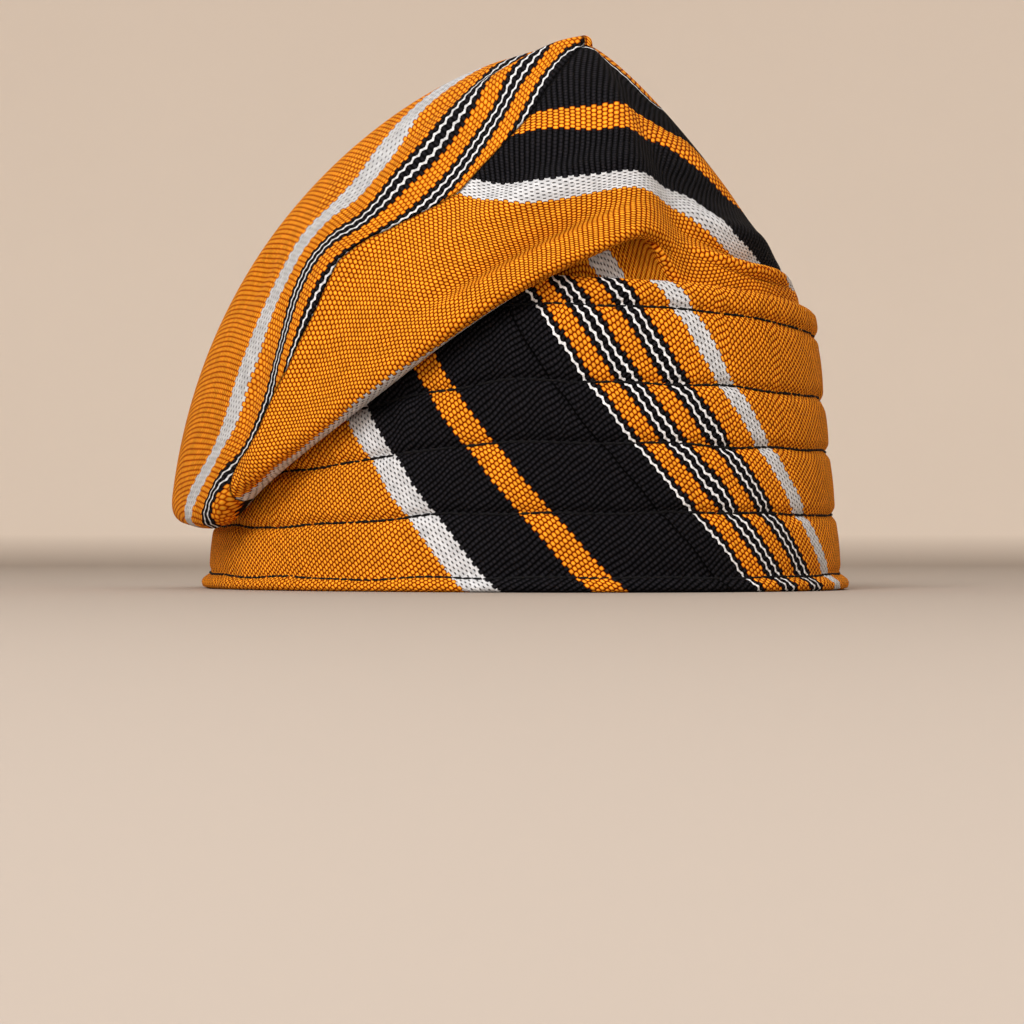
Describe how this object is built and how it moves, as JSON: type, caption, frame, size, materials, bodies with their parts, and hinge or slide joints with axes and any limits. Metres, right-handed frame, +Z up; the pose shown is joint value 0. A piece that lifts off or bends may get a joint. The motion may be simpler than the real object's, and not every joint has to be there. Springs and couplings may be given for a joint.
{
  "type": "fila cap",
  "caption": "Soft hand-woven strip-cloth cap with a stiff quilted band and a bag crown folded down over the wearer's right side.",
  "frame": {"origin": "on the surface under the middle of the cap's outline as seen from above", "axes": "+Z up, the wearer faces -Y, +X is the wearer's left"},
  "size_m": [0.1756, 0.2086, 0.1475],
  "materials": {
    "band_cloth": "thick hand-woven strip cloth, matt, orange with black and white stripes, in several stitched layers",
    "crown_cloth": "hand-woven strip cloth, matt, orange with black and white stripes",
    "thread": "black sewing thread"
  },
  "bodies": {
    "root": {"band": "band_cloth", "crown": "crown_cloth"}
  },
  "joints": []
}
